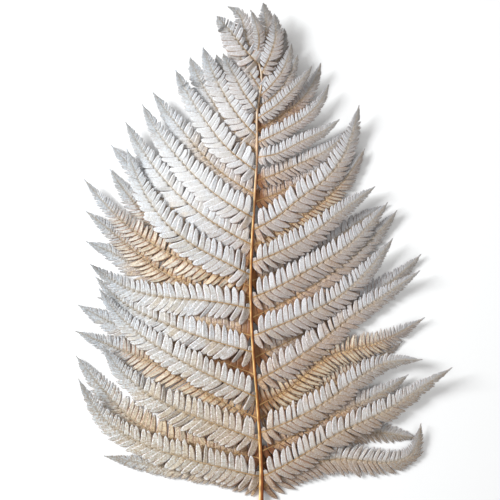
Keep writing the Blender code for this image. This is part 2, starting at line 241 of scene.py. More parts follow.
def wave(seed, x, size):
    """A smooth repeatable wobble of x, between -1 and 1."""
    x = np.asarray(x, float) / size
    return (np.sin(x * 2.1 + seed) + np.sin(x * 3.7 + seed * 1.7 + 1.3) * 0.6 + np.sin(x * 6.3 + seed * 2.9) * 0.35) / 1.95


class Mesh:
    """Gathers closed bodies made of rings, with two vectors of looks at each point."""

    def __init__(self):
        self.points, self.faces, self.a, self.b, self.count = [], [], [], [], 0

    def tubes(self, p, a, b):
        """p, a and b are (bodies, rings, points round, 3). Each body is closed at both ends."""
        n, rings, around = p.shape[:3]
        base = self.count + np.arange(n)[:, None, None] * rings * around
        r, k = np.meshgrid(np.arange(rings - 1), np.arange(around), indexing="ij")
        k2 = (k + 1) % around
        quad = np.stack([r * around + k, r * around + k2, (r + 1) * around + k2, (r + 1) * around + k], -1).reshape(1, -1, 4)
        quads = (quad + base).reshape(-1, 4)
        self.faces.append(("q", quads))
        first = np.arange(around)[::-1][None, :] + base[:, 0]
        last = np.arange(around)[None, :] + (rings - 1) * around + base[:, 0]
        self.faces.append(("n", np.concatenate([first, last])))
        self.points.append(p.reshape(-1, 3))
        self.a.append(a.reshape(-1, 3))
        self.b.append(b.reshape(-1, 3))
        self.count += n * rings * around

    def build(self, name, look):
        pts = np.concatenate(self.points)
        loops, starts, at = [], [], 0
        for _, f in self.faces:
            loops.append(f.reshape(-1))
            starts.append(at + np.arange(len(f)) * f.shape[1])
            at += f.size
        loops, starts = np.concatenate(loops), np.concatenate(starts)
        mesh = bpy.data.meshes.new(name)
        mesh.vertices.add(len(pts))
        mesh.vertices.foreach_set("co", pts.astype(np.float32).reshape(-1))
        mesh.loops.add(len(loops))
        mesh.loops.foreach_set("vertex_index", loops.astype(np.int32))
        mesh.polygons.add(len(starts))
        mesh.polygons.foreach_set("loop_start", starts.astype(np.int32))
        mesh.update(calc_edges=True)
        for key, data in (("leaf_a", self.a), ("leaf_b", self.b)):
            layer = mesh.attributes.new(key, "FLOAT_VECTOR", "POINT")
            layer.data.foreach_set("vector", np.concatenate(data).astype(np.float32).reshape(-1))
        mesh.polygons.foreach_set("use_smooth", np.ones(len(starts), bool))
        mesh.materials.append(look)
        ob = bpy.data.objects.new(name, mesh)
        bpy.context.scene.collection.objects.link(ob)
        return ob


# ================================================================ materials
def srgb(*c):
    return tuple((v / 255 / 12.92 if v <= 10 else ((v / 255 + 0.055) / 1.055) ** 2.4) for v in c) + (1.0,)


class Nodes:
    """Short names for the node types used here."""

    def __init__(self, name):
        self.material = bpy.data.materials.new(name)
        self.material.use_nodes = True
        self.tree = self.material.node_tree
        self.shader = self.tree.nodes["Principled BSDF"]

    def put(self, socket, value):
        if isinstance(value, bpy.types.NodeSocket):
            self.tree.links.new(value, socket)
        elif value is not None:
            socket.default_value = value

    def math(self, op, a, b=None, c=None, clamp=False):
        n = self.tree.nodes.new("ShaderNodeMath")
        n.operation, n.use_clamp = op, clamp
        for socket, value in zip(n.inputs, (a, b, c)):
            self.put(socket, value)
        return n.outputs[0]

    def mix(self, factor, a, b, blend="MIX"):
        n = self.tree.nodes.new("ShaderNodeMix")
        n.data_type, n.blend_type, n.clamp_factor = "RGBA", blend, True
        self.put(n.inputs[0], factor)
        self.put(n.inputs[6], a)
        self.put(n.inputs[7], b)
        return n.outputs[2]

    def step(self, value, low, high, out_low=0.0, out_high=1.0):
        n = self.tree.nodes.new("ShaderNodeMapRange")
        n.interpolation_type = "SMOOTHSTEP"
        for i, v in enumerate((value, low, high, out_low, out_high)):
            self.put(n.inputs[i], v)
        return n.outputs[0]

    def attribute(self, name):
        n = self.tree.nodes.new("ShaderNodeAttribute")
        n.attribute_type, n.attribute_name = "GEOMETRY", name
        split = self.tree.nodes.new("ShaderNodeSeparateXYZ")
        self.tree.links.new(n.outputs["Vector"], split.inputs[0])
        return split.outputs[0], split.outputs[1], split.outputs[2]

    def axis(self, where, i):
        split = self.tree.nodes.new("ShaderNodeSeparateXYZ")
        self.tree.links.new(where, split.inputs[0])
        return split.outputs[i]

    def vector(self, x, y, z):
        n = self.tree.nodes.new("ShaderNodeCombineXYZ")
        for socket, value in zip(n.inputs, (x, y, z)):
            self.put(socket, value)
        return n.outputs[0]

    def place(self):
        return self.tree.nodes.new("ShaderNodeTexCoord").outputs["Object"]

    def noise(self, where, scale, detail=3.0, rough=0.55):
        n = self.tree.nodes.new("ShaderNodeTexNoise")
        self.put(n.inputs["Vector"], where)
        self.put(n.inputs["Scale"], scale)
        self.put(n.inputs["Detail"], detail)
        self.put(n.inputs["Roughness"], rough)
        return n.outputs["Fac"]

    def bump(self, height, strength, distance, normal=None):
        n = self.tree.nodes.new("ShaderNodeBump")
        self.put(n.inputs["Height"], height)
        self.put(n.inputs["Strength"], strength)
        self.put(n.inputs["Distance"], distance)
        if normal is not None:
            self.put(n.inputs["Normal"], normal)
        return n.outputs[0]


def blade_material(name):
    """leaf_a holds (along a segment 0..1, across it -1..1, a number of its own), leaf_b (1 on the leaflet's midvein, 0 on its
    upper row and -0.4 on its lower row of segments; tan share, raised by 4 on golden leaflets; along the leaflet 0..1)."""
    k = Nodes(name)
    u, v, own = k.attribute("leaf_a")
    vein, tan_share, t = k.attribute("leaf_b")
    gold = k.step(tan_share, 2.4, 2.6)
    tan_share = k.math("SUBTRACT", tan_share, k.math("MULTIPLY", gold, 4.0))
    side = k.math("ABSOLUTE", v)
    where = k.place()

    blotch = k.noise(where, 46.0, 4.0, 0.6)
    grain = k.noise(where, 1300.0, 3.0, 0.65)
    wide = k.noise(where, 13.0, 2.0, 0.5)

    # side veins slant from the segment's own vein to its edge
    run = k.math("SUBTRACT", k.math("MULTIPLY", u, 9.0), k.math("MULTIPLY", side, 1.7))
    run = k.math("ADD", run, k.math("MULTIPLY", own, 3.0))
    ribs = k.math("SINE", k.math("MULTIPLY", run, 6.2832))
    rib = k.step(ribs, 0.35, 1.0)
    rib = k.math("MULTIPLY", rib, k.step(side, 0.03, 0.14))
    rib = k.math("MULTIPLY", rib, k.step(side, 0.98, 0.8))
    mid = k.step(side, 0.11, 0.02)
    crinkle = k.noise(where, 560.0, 3.0, 0.6)
    border = k.math("ADD", side, k.math("MULTIPLY", k.math("SUBTRACT", crinkle, 0.5), 0.5))
    edge = k.math("MULTIPLY", k.step(border, 0.64, 0.82), k.step(u, 0.05, 0.45, 0.35, 1.0))
    edge = k.math("MAXIMUM", edge, k.math("MULTIPLY", k.step(u, 0.80, 0.96), 0.8))
    # painted shade: the side walls of the segments are painted dark brown, standing for the shade in the gaps between
    # them
    gap_shade = k.math("MULTIPLY", k.step(side, 0.87, 0.96), k.step(u, 0.22, 0.50, 0.30, 1.0))
    # the right half of the frond; most colours mixed in with this mask are darker copies, painted shade away from the
    # key light on the left
    east = k.step(k.axis(where, 0), -0.10, 0.05)
    row = k.step(vein, -0.1, -0.3)
    web = k.math("MULTIPLY", k.math("MULTIPLY", row, k.math("SUBTRACT", 1.0, east)), k.step(u, 0.74, 0.52))
    gap_shade = k.math("MULTIPLY", gap_shade, k.math("SUBTRACT", 1.0, k.math("MULTIPLY", web, 0.65)))
    # painted shade: the side of each segment away from the key light, its right-hand side, is painted brown, and gets
    # no pale rim
    lee = k.math("MULTIPLY", v, k.step(k.axis(where, 0), -0.018, -0.008, -1.0, 1.0))
    shade = k.math("MULTIPLY", k.step(lee, 0.40, 0.86), k.step(u, 0.02, 0.30, 0.30, 1.0))
    shade = k.math("MULTIPLY", shade, k.math("SUBTRACT", 1.0, k.math("MULTIPLY", web, 0.55)))
    edge = k.math("MULTIPLY", edge, k.math("SUBTRACT", 1.0, k.math("MULTIPLY", shade, 0.9)))
    edge = k.math("MULTIPLY", edge, k.math("SUBTRACT", 1.0, k.math("MULTIPLY", web, 0.4)))
    outer = k.step(t, 0.50, 0.92)
    inward = k.math("SUBTRACT", 1.0, k.math("MULTIPLY", outer, k.math("SUBTRACT", 0.8, k.math("MULTIPLY", gold, 0.6))))
    crown = k.math("MULTIPLY", k.step(k.axis(where, 1), 0.03, 0.10), k.step(k.axis(where, 1), 0.22, 0.165))
    crown = k.math("MULTIPLY", crown, k.math("SUBTRACT", 1.0, east))
    crown = k.math("MULTIPLY", crown, k.math("SUBTRACT", 1.0, k.math("MULTIPLY", outer, 0.7)))
    north = k.step(k.axis(where, 1), 0.02, 0.16)
    south = k.step(k.axis(where, 1), -0.03, -0.15)

    pale = k.mix(k.step(wide, 0.35, 0.65), srgb(*PALE_WARM), srgb(*PALE_COOL))
    pale = k.mix(k.math("MULTIPLY", south, 0.7), pale, srgb(*PALE_SOUTH))
    # painted shade: the pale colour is darker on the right, darkest at the lower right corner
    pale = k.mix(k.math("MULTIPLY", east, 0.85), pale, k.mix(south, srgb(*PALE_SHADED_EAST), srgb(*PALE_SHADED_CORNER)))
    pale = k.mix(k.math("MULTIPLY", north, k.math("SUBTRACT", 0.8, k.math("MULTIPLY", east, 0.4))), pale, srgb(*PALE_NORTH))
    # the outer parts of the leaflets are paler and cooler; on the right they get a darker copy, painted shade
    pale = k.mix(k.math("MULTIPLY", outer, 0.85), pale, k.mix(east, srgb(*OUTER), srgb(*OUTER_SHADED_EAST)))
    inner = k.mix(k.step(blotch, 0.40, 0.62), srgb(*INNER_PALE), srgb(*INNER_TAN))
    inner = k.mix(k.math("MULTIPLY", south, 0.55), inner, srgb(*INNER_SOUTH))
    inner_share = k.math("MULTIPLY", k.step(side, 0.92, 0.55), k.math("MULTIPLY_ADD", own, 0.38, 0.42))
    inner_share = k.math("MULTIPLY", inner_share, k.step(u, 0.97, 0.72))
    inner_share = k.math("MULTIPLY", inner_share, k.math("SUBTRACT", 1.0, k.math("MULTIPLY", outer, 0.55)))
    inner_share = k.math("MULTIPLY", inner_share, k.math("SUBTRACT", 1.0, k.math("MULTIPLY", north, 0.35)), clamp=True)
    # painted shade: on the right the tan interior is a darker copy, darkest at the lower right
    colour = k.mix(inner_share, pale, k.mix(k.math("MULTIPLY", east, 0.6), inner, k.mix(south, srgb(*INNER_SHADED_EAST), srgb(*INNER_SHADED_CORNER))))
    # pale rims along the segment edges; on the right the rim colour is a darker copy, painted shade
    colour = k.mix(k.math("MULTIPLY", edge, 0.88), colour, k.mix(east, srgb(*RIM), srgb(*RIM_AND_ROW_HIGHLIGHT_EAST)))
    colour = k.mix(k.math("MULTIPLY", mid, 0.42), colour, srgb(*VEIN_TAN))
    colour = k.mix(k.math("MULTIPLY", rib, 0.50), colour, srgb(*VEIN_TAN))
    colour = k.mix(k.math("MULTIPLY", k.step(crinkle, 0.57, 0.40), k.math("MULTIPLY_ADD", south, 0.26, 0.42)), colour, k.mix(south, srgb(*SPECK), srgb(*SPECK_SOUTH)))

    # painted shade and highlight on the right half: the lower rows of segments, which slope away from the key light,
    # are painted darker and browner, and the upper rows lighter
    colour = k.mix(k.math("MULTIPLY", k.math("MULTIPLY", row, inward), k.math("MULTIPLY", east, 0.42)), colour, srgb(*LOWER_ROW_SHADE_EAST))
    colour = k.mix(k.math("MULTIPLY", k.math("SUBTRACT", 1.0, row), k.math("MULTIPLY", east, 0.30)), colour, srgb(*RIM_AND_ROW_HIGHLIGHT_EAST))
    foot = k.math("MULTIPLY", k.step(u, 0.26, 0.0), 0.50)
    colour = k.mix(foot, colour, srgb(*FOOT_TAN))

    # tan patches, where the bleach left some colour: more on the leaflets that lie underneath
    patch = k.math("ADD", k.step(blotch, 0.52, 0.74, 0.0, 0.24), tan_share)
    patch = k.math("ADD", patch, k.math("MULTIPLY", k.math("SUBTRACT", own, 0.5), 0.24))
    patch = k.math("SUBTRACT", patch, k.math("MULTIPLY", north, 0.06))
    patch = k.math("SUBTRACT", patch, k.math("MULTIPLY", outer, 0.22))
    patch = k.math("MULTIPLY", patch, k.math("SUBTRACT", 1.0, k.math("MULTIPLY", edge, k.step(tan_share, 0.2, 1.0, 0.85, 0.62))), clamp=True)
    # painted light on the tan: crinkles are mixed from a lit and a dark tan, with fewer lit ones on the leaflets lying
    # underneath, as painted shade
    lit = k.math("MULTIPLY", k.step(crinkle, 0.40, 0.58), k.step(tan_share, 0.55, 0.90, 1.0, 0.30))
    left_tan = k.mix(lit, srgb(*TAN_DEEP), srgb(*TAN_LIGHT))
    # painted shade: on the right half the tan is a darker copy, except on golden leaflets
    tan_east_shade = k.math("MULTIPLY", k.math("MULTIPLY", east, 0.62), k.math("SUBTRACT", 1.0, gold))
    left_tan = k.mix(tan_east_shade, left_tan, k.mix(lit, srgb(*TAN_DEEP_SHADED_EAST), srgb(*TAN_LIGHT_SHADED_EAST)))
    gilt = k.math("MULTIPLY", k.step(k.axis(where, 1), 0.0, -0.07), k.math("SUBTRACT", 1.0, east))
    gilt = k.math("MAXIMUM", gold, k.math("MULTIPLY", gilt, 0.65))
    cream = k.math("MULTIPLY", k.math("MULTIPLY", k.step(side, 0.74, 0.30), k.step(u, 0.12, 0.42)), gilt)
    left_tan = k.mix(k.math("MULTIPLY", cream, 0.80), left_tan, srgb(*CREAM))
    colour = k.mix(patch, colour, left_tan)
    colour = k.mix(k.math("MULTIPLY", k.step(grain, 0.46, 0.62), k.step(tan_share, 0.3, 0.9, 0.30, 0.10)), colour, srgb(*RIM))
    # painted shade: the leaflets lying underneath are painted dark brown near the stem, under the stem and the leaflets
    # above, darkest towards the bottom
    near = k.math("MULTIPLY", k.step(t, 0.30, 0.05), k.step(tan_share, 0.55, 0.95))
    colour = k.mix(k.math("MULTIPLY", near, 0.74), colour, k.mix(south, srgb(*NEAR_STEM_SHADE), srgb(*NEAR_FOOT_SHADE)))
    root = k.step(t, 0.45, 0.05)
    # painted shade on that side: stronger on the right half and near the stem
    painted_shade_share = k.math("MULTIPLY", shade, k.math("ADD", k.math("MULTIPLY_ADD", east, 0.28, 0.34), k.math("MULTIPLY", root, 0.22)))
    painted_shade_share = k.math("MULTIPLY", painted_shade_share, k.math("SUBTRACT", 1.0, k.math("MULTIPLY", gold, 0.5)))
    painted_shade_share = k.math("MULTIPLY", painted_shade_share, k.math("SUBTRACT", 1.0, k.math("MULTIPLY", crown, 0.6)))
    painted_shade_share = k.math("MULTIPLY", painted_shade_share, k.math("MULTIPLY_ADD", inward, 0.6, 0.4))
    colour = k.mix(painted_shade_share, colour, k.mix(k.step(tan_share, 0.2, 0.6), k.mix(root, srgb(*LEE_SHADE), srgb(*LEE_SHADE_ROOT)), srgb(*LEE_SHADE_DEEP)))
    # golden leaflets: brown segment margins, partly their own colour and partly painted shade between the segments
    gilt = k.math("MULTIPLY", gilt, k.step(tan_share, 0.12, 0.42))
    colour = k.mix(k.math("MULTIPLY", gilt, k.step(side, 0.58, 0.92, 0.0, 0.8)), colour, srgb(*GOLD_EDGE_AND_SHADE))
    # painted shade in the gaps between segments
    colour = k.mix(k.math("MULTIPLY", gap_shade, 0.85), colour, k.mix(k.step(tan_share, 0.1, 0.6), srgb(*GAP_SHADE_TAN), srgb(*GAP_SHADE_DEEP)))
    colour = k.mix(k.step(own, 0.75, 1.0, 0.0, 0.12), colour, srgb(*VEIN_TAN))
    colour = k.mix(k.math("MULTIPLY", crown, k.step(tan_share, 0.04, 0.30, 0.46, 0.06)), colour, srgb(*CROWN))

    # the leaflet's own midvein: golden near the stem, fading outwards
    golden = k.mix(k.step(t, 0.02, 0.75), srgb(*COSTA_ROOT), srgb(*COSTA_END))
    golden = k.mix(k.math("MULTIPLY", k.step(k.noise(where, 260.0, 2.0), 0.40, 0.62), 0.35), golden, srgb(*COSTA_DARK_AND_SHADE))
    # painted shade: the midvein is darker on the right half; the line above gives it real dark streaks
    golden = k.mix(k.math("MULTIPLY", east, 0.45), golden, srgb(*COSTA_DARK_AND_SHADE))
    golden = k.mix(k.math("SUBTRACT", 1.0, inward), golden, srgb(*COSTA_PALE))
    colour = k.mix(vein, colour, golden)

    k.put(k.shader.inputs["Base Color"], colour)
    k.put(k.shader.inputs["Roughness"], k.math("MULTIPLY_ADD", grain, 0.25, 0.52))
    k.put(k.shader.inputs["Specular IOR Level"], 0.28)
    k.put(k.shader.inputs["Sheen Weight"], 0.12)
    k.put(k.shader.inputs["Sheen Roughness"], 0.5)
    height = k.math("ADD", k.math("MULTIPLY", rib, -0.7), k.math("MULTIPLY", grain, 0.45))
    height = k.math("ADD", height, k.math("MULTIPLY", crinkle, k.step(tan_share, 0.0, 0.6, 1.1, 2.2)))
    height = k.math("SUBTRACT", height, k.math("MULTIPLY", mid, 0.5))
    height = k.math("MULTIPLY", height, k.math("SUBTRACT", 1.0, k.math("MULTIPLY", k.step(vein, 0.0, 1.0), 0.75)))
    k.put(k.shader.inputs["Normal"], k.bump(height, 0.95, 0.00046))
    return k.material


def stem_material(name):
    """leaf_a holds (cosine round the stem, sine, distance along it in m), leaf_b (share of its height, groove, number)."""
    k = Nodes(name)
    c, s, far = k.attribute("leaf_a")
    share, groove, node = k.attribute("leaf_b")
    fibre_at = k.vector(k.math("MULTIPLY", c, 2.2), k.math("MULTIPLY", s, 2.2), k.math("MULTIPLY", far, 26.0))
    fibre = k.noise(fibre_at, 1.6, 5.0, 0.62)
    coarse = k.noise(k.vector(k.math("MULTIPLY", c, 0.7), k.math("MULTIPLY", s, 0.7), k.math("MULTIPLY", far, 9.0)), 2.3, 3.0)

    body = k.mix(k.step(share, 0.0, 0.26), srgb(*STEM_FOOT), srgb(*STEM_MIDDLE))
    high = k.step(share, 0.56, 0.88)
    body = k.mix(high, body, srgb(*STEM_TOP))
    body = k.mix(k.math("MULTIPLY", k.step(coarse, 0.40, 0.66), k.math("MULTIPLY_ADD", high, -0.38, 0.5)), body, srgb(*STEM_RED))
    # painted shade: the right side of the stem, away from the key light, is painted dark brown, most towards its foot;
    # the same dark brown also marks the real fibres and leaflet joints below
    painted_shade_side = k.math("MULTIPLY", k.step(c, 0.10, 0.58), k.step(share, 1.15, 0.45))
    body = k.mix(k.math("MULTIPLY", painted_shade_side, 0.88), body, srgb(*STEM_DARK_AND_SHADE))
    # painted highlight: a cream streak along the upper left of the stem, the side facing the key light
    painted_highlight = k.math("MULTIPLY", k.step(c, -0.08, -0.32), k.step(s, -0.05, 0.35))
    body = k.mix(k.math("MULTIPLY", painted_highlight, k.step(fibre, 0.30, 0.60, 0.60, 1.0)), body, k.mix(high, srgb(*STEM_PAINTED_HIGHLIGHT), srgb(*STEM_PAINTED_HIGHLIGHT_TOP)))
    # painted shade: the groove along the top of the stem is painted dark
    body = k.mix(k.math("MULTIPLY", groove, 0.55), body, srgb(*STEM_DARK_AND_SHADE))
    body = k.mix(k.math("MULTIPLY", k.step(fibre, 0.56, 0.72, 0.0, 0.55), k.math("MULTIPLY_ADD", high, -0.5, 1.0)), body, srgb(*STEM_DARK_AND_SHADE))
    body = k.mix(k.math("MULTIPLY", node, k.math("MULTIPLY_ADD", high, -0.3, 0.45)), body, srgb(*STEM_DARK_AND_SHADE))
    k.put(k.shader.inputs["Base Color"], body)
    k.put(k.shader.inputs["Roughness"], k.math("MULTIPLY_ADD", fibre, 0.35, 0.30))
    k.put(k.shader.inputs["Specular IOR Level"], 0.4)
    k.put(k.shader.inputs["Normal"], k.bump(fibre, 0.5, 0.00035))
    return k.material


PALE_WARM, PALE_COOL, PALE_SHADED_EAST = (233, 236, 239), (222, 233, 246), (186, 187, 190)
PALE_NORTH, PALE_SHADED_CORNER, PALE_SOUTH = (216, 219, 225), (172, 173, 170), (208, 209, 198)
OUTER, OUTER_SHADED_EAST = (202, 216, 228), (126, 128, 128)
INNER_PALE, INNER_TAN, INNER_SHADED_EAST = (202, 208, 216), (196, 191, 177), (142, 138, 136)
INNER_SOUTH, INNER_SHADED_CORNER = (186, 168, 130), (138, 122, 98)
RIM, RIM_AND_ROW_HIGHLIGHT_EAST, LOWER_ROW_SHADE_EAST = (246, 249, 254), (232, 234, 242), (170, 142, 126)
VEIN_TAN, FOOT_TAN, GAP_SHADE_TAN, GAP_SHADE_DEEP = (168, 153, 128), (174, 150, 110), (156, 96, 42), (128, 68, 20)
SPECK, SPECK_SOUTH, LEE_SHADE, LEE_SHADE_DEEP = (150, 128, 104), (150, 116, 70), (160, 122, 80), (122, 68, 24)
TAN_DEEP, TAN_LIGHT = (138, 82, 26), (230, 188, 116)
NEAR_STEM_SHADE, NEAR_FOOT_SHADE, LEE_SHADE_ROOT, CROWN = (140, 86, 40), (100, 50, 16), (140, 84, 38), (241, 243, 245)
TAN_DEEP_SHADED_EAST, TAN_LIGHT_SHADED_EAST, CREAM, GOLD_EDGE_AND_SHADE = (112, 56, 14), (194, 130, 62), (248, 234, 202), (180, 120, 56)
COSTA_ROOT, COSTA_END, COSTA_DARK_AND_SHADE, COSTA_PALE = (184, 146, 98), (202, 188, 164), (142, 102, 58), (184, 180, 174)
STEM_FOOT, STEM_MIDDLE, STEM_TOP = (156, 76, 24), (196, 122, 36), (222, 198, 164)
STEM_RED, STEM_DARK_AND_SHADE, STEM_PAINTED_HIGHLIGHT = (150, 68, 20), (88, 36, 8), (246, 208, 140)
STEM_PAINTED_HIGHLIGHT_TOP = (244, 232, 214)

BLADE = blade_material("bleached_blade")
STEM = stem_material("dried_stem")


# ================================================================ one leaflet
TOP_V = np.array([-1.0, -0.86, -0.56, -0.2, 0.0, 0.2, 0.56, 0.86, 1.0])
TOP_Z = np.array([-0.92, -0.26, 0.24, 0.16, -0.16, 0.16, 0.24, -0.26, -0.92])
LOW_V = np.array([0.80, -0.80])
LOW_Z = np.array([-0.86, -0.86])
RING_V, RING_Z = np.concatenate([TOP_V, LOW_V]), np.concatenate([TOP_Z, LOW_Z])


def outline(u, blunt, split):
    """Half width of a segment along its length: joined to its neighbours up to split, then an oval end."""
    foot = 1.03 - 0.03 * smooth(0.0, 0.5, u)
    tip = np.clip(1 - np.clip((u - split) / (1 - split), 0, 1) ** (1.9 + blunt), 0, 1) ** 0.66
    return foot * tip


def blade_half(s, curve, start, breadth=1.0):
    """Half width of the leaflet, measured to the ends of its segments."""
    t = s / curve.length
    b = 0.80 + 0.20 * smooth(start, start + 9.0, s)
    return np.maximum(widest(curve.length) * breadth * 1.0 * np.clip(1 - t**3.3, 0, 1) ** 0.92 * b, 0.8)


def height_field(curve, level, lift, start):
    """Heights of the leaflet's middle surface over (distance along, distance across)."""
    n = 90
    s = np.linspace(0, curve.length, n)
    mid, ahead = curve.at(s), curve.heading(s)
    side = np.stack([ahead[:, 1], -ahead[:, 0]], -1)
    reach = widest(curve.length)
    rows = [leaflet_height(mid + side * w, s, curve, level, lift) for w in (-reach, 0.0, reach)]
    root = float(np.interp(0, [0, 1], [stem_height_at(mid[0]), 0]))
    rows = [root + (r - root) * smooth(0.0, start + 4.0, s) if abs(w) < 1e-6 else r for r, w in zip(rows, (-reach, 0.0, reach))]

    def at(s_, w_):
        left, centre, right = (np.interp(s_, s, r) for r in rows)
        return centre + np.where(w_ < 0, (left - centre) * (-w_ / reach), (right - centre) * (w_ / reach))

    return at


def stem_height_at(xy):
    i = ((xy[None, :] - _line) ** 2).sum(-1).argmin()
    return float(np.interp(_u[i], _u, _height))


def curl_out(curve, s, w):
    """Plan points at a distance along and across the leaflet's midvein, past its end too."""
    inside = np.clip(s, 0, curve.length)
    mid, ahead = curve.at(inside), curve.heading(inside)
    side = np.stack([ahead[..., 1], -ahead[..., 0]], -1)
    return mid + ahead * (s - inside)[..., None] + side * w[..., None]


def stem_gap(xy):
    d2 = ((xy[..., None, :] - _line[::3]) ** 2).sum(-1)
    i = d2.argmin(-1)
    return np.sqrt(np.take_along_axis(d2, i[..., None], -1)[..., 0]) - along(MIDRIB_RADIUS, _line[::3][i][..., 1])


def leaflet(name, curve, start, level, lift, tans, seed, upper=1.0, breadth=1.0, splits=(0.38, 0.34), rough=1.0, close=1.0, webbed=0.3, half=blade_half, first=None):
    rng = np.random.default_rng(seed)
    length = curve.length
    at = height_field(curve, level, lift, start)
    body = Mesh()

    # its midvein: a thin ridged tube from inside the stem to the tip
    n = max(24, int(length / 2.2))
    s = np.linspace(0.0, length * 0.995, n)
    r = np.interp(s / length, [0, 0.06, 0.5, 1.0], [0.85, 0.44, 0.31, 0.11]) * (0.62 + 0.38 * min(length / 150.0, 1.0))
    ring = np.linspace(0, 2 * math.pi, 11)[:-1] + math.pi / 2
    squash = 1 - 0.30 * np.exp(-((np.angle(np.exp(1j * (ring - math.pi / 2))) / 0.45) ** 2))
    across = (np.cos(ring) * squash)[None, :] * r[:, None] * (1 + 0.05 * wave(seed, s, 7.0))[:, None]
    up = (np.sin(ring) * squash)[None, :] * r[:, None] * 0.9
    ss = np.repeat(s[:, None], len(ring), 1)
    z = at(ss, np.zeros_like(ss)) + up + 0.05
    p = to_world(curl_out(curve, ss, across).reshape(-1, 2), z.reshape(-1)).reshape(1, n, len(ring), 3)
    a = np.zeros(p.shape)
    b = np.zeros(p.shape)
    b[..., 0] = 1.0
    b[..., 1] = tans(s / length)[None, :, None]
    b[..., 2] = (s / length)[None, :, None]
    body.tubes(p, a, b)

    # two rows of segments
    plan = []
    for sign in (-1.0, 1.0):
        at_s = (start + 0.6 if first is None else first) + (0.0 if sign < 0 else 1.1)
        acroscopic = sign == upper
        while at_s < length - 1.2:
            hw = float(half(at_s, curve, start, breadth))
            hw_ahead = float(half(min(at_s + 0.35 * hw, length), curve, start, breadth))
            gap = float(np.clip(close * (0.42 if level > 1.9 else 0.33) * hw_ahead, 1.8, 6.8))
            t = at_s / length
            fan = 26 * (1 - float(smooth(0.0, 16.0, at_s - start))) if half is blade_half else 0.0
            lean = math.radians(((80 if acroscopic else (65 if webbed > 0.5 else 62) + fan) + (8 if close < 1 else 0)) - 8 * t - 24 * t**5 + rng.normal(0, 2.8))
            reach = hw_ahead / math.sin(lean) * (1 + rng.normal(0, 0.055))
            wide = gap * 0.5 * (0.90 if close < 1 else 1.0) * (1.0 if acroscopic else 0.96 + 0.1 * fan / 26) * (1 + rng.normal(0, 0.06))
            folded = rng.random() < 0.045 * rough**1.6
            split = (splits[0] if acroscopic else splits[1]) + rng.normal(0, 0.05)
            plan.append((at_s, sign, lean, reach, wide * (0.66 if folded else 1.0), rng.normal(0, 1), rng.normal(0, 1), rng.random(), rng.random(), rng.normal(0, 1), folded, split))
            at_s += gap * (1 + rng.normal(0, 0.04))
    # the pointed end
    plan.append((length * 0.985, 1.0, math.radians(6), max(2.2, 0.03 * length), 0.8, 0.2, 0.1, rng.random(), 0.5, 0.0, False, 0.3))
    plan = np.array([tuple(map(float, row)) for row in plan])

    # shorten a segment that would reach over the stem
    for _ in range(7):
        tip_s = plan[:, 0] + plan[:, 3] * np.cos(plan[:, 2])
        tip_w = plan[:, 1] * plan[:, 3] * np.sin(plan[:, 2])
        near = np.zeros(len(plan), bool)
        for share in (0.6, 1.0):
            xy = curl_out(curve, plan[:, 0] + (tip_s - plan[:, 0]) * share, tip_w * share)
            near |= (stem_gap(xy) < plan[:, 4] * (0.75 if share < 1 else 0.2)) & (plan[:, 0] < 40) & (half is blade_half) & (level > 1.9)
        plan[near, 3] *= 0.84
        plan[near, 4] *= 0.97

    for low, high, stations in ((0.0, 4.5, 7), (4.5, 9.0, 9), (9.0, 99.0, 11)):
        pick = plan[(plan[:, 3] >= low) & (plan[:, 3] < high)]
        if not len(pick):
            continue
        m = len(pick)
        base_s, sign, lean, reach, wide, r1, r2, r3, r4, r5, folded, split = (pick[:, i][:, None, None] for i in range(12))
        x = np.linspace(0, 1, stations)
        u = (1 - (1 - x) ** 1.45)[None, :, None] * np.ones((m, 1, len(RING_V)))
        h = outline(u, r4 * 1.1, np.clip(split, 0.2, 0.75)) * (1 + 0.03 * np.sin(u * 21 + r3 * 40) + 0.025 * np.sin(u * 9 + r4 * 30))
        h = np.maximum(h, 0.02)
        v = RING_V[None, None, :] * np.ones_like(u)
        size = reach / 15.0
        lateral = v * wide * h
        forward = u * reach
        # the segment bends towards the leaflet's tip
        bend = (0.16 + 0.03 * r2) * reach * u**2.2 + 0.02 * reach * r1 * u
        ds = forward * np.cos(lean) + bend * np.sin(lean) + lateral * np.sin(lean)
        dw = sign * (forward * np.sin(lean) - bend * np.cos(lean) * 0.5 - lateral * np.cos(lean))
        s_at = base_s + ds
        z = at(np.clip(s_at, 0, length), dw) - ROOF * np.abs(dw)
        relief = RING_Z[None, None, :] * np.ones_like(u) * np.minimum(1.0, wide / 2.6)
        relief = relief * (0.35 + 0.65 * np.clip(h, 0, 1)) * (0.22 + 0.78 * smooth(0.05, 0.55, u))
        relief = relief * (1 - webbed * (sign != upper) * (1 - smooth(split - 0.14, split + 0.12, u)))
        relief += (v * wide * h) * (0.15 * rough * r1 + 0.04 + 0.5 * folded) * np.clip(u * 2, 0, 1)  # a slight roll: each laps its neighbour
        droop = 0.55 + 0.3 * r5 if level > 2 else 0.25 + 0.15 * r5
        relief += size * (0.42 * np.sin(math.pi * u) * (1 + 0.35 * r2) - droop * u**2.5)
        relief += rough**1.5 * 0.12 * np.sin(u * 7 + r3 * 30) * np.sign(v) * np.abs(v) ** 1.5 * size
        relief += (rough - 1) * 0.35 * np.sin(u * 15 + r4 * 30 + v * 1.5) * size
        z = z + relief
        xy = curl_out(curve, s_at.reshape(-1), dw.reshape(-1))
        p = to_world(xy, np.maximum(z, 0.06 + 0.45 * (RING_Z + 0.92)[None, None, :] * np.ones_like(z)).reshape(-1)).reshape(m, stations, len(RING_V), 3)
